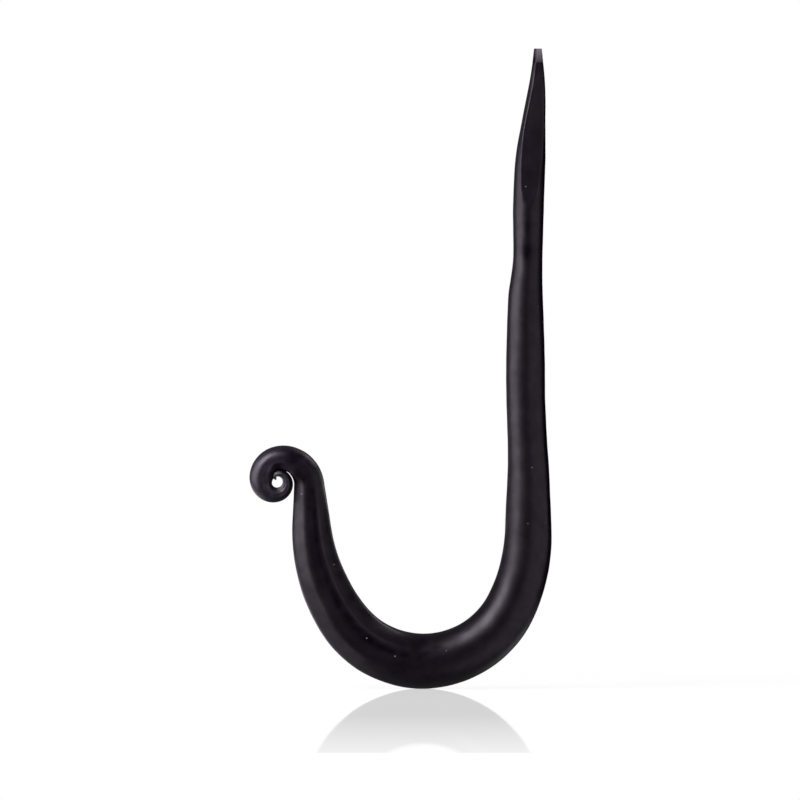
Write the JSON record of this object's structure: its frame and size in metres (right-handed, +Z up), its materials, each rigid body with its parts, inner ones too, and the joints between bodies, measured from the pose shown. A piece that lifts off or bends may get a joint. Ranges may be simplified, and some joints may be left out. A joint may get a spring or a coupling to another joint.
{
  "type": "wall hook",
  "caption": "Hand-forged black iron J hook with a drive-in spike at the top and a rolled scroll at the tip, for hanging things from a timber wall or beam.",
  "frame": {"origin": "on the bar's axis at the shoulder, where the driven spike ends and the shank begins", "axes": "+Z up along the spike, -X from the shank towards the arm and scroll, Y across the plane of the hook, which is the XZ plane"},
  "size_m": [0.0664, 0.012, 0.1408],
  "materials": {
    "black_iron": "satin"
  },
  "bodies": {
    "root": {"hook": "black_iron"}
  },
  "joints": []
}
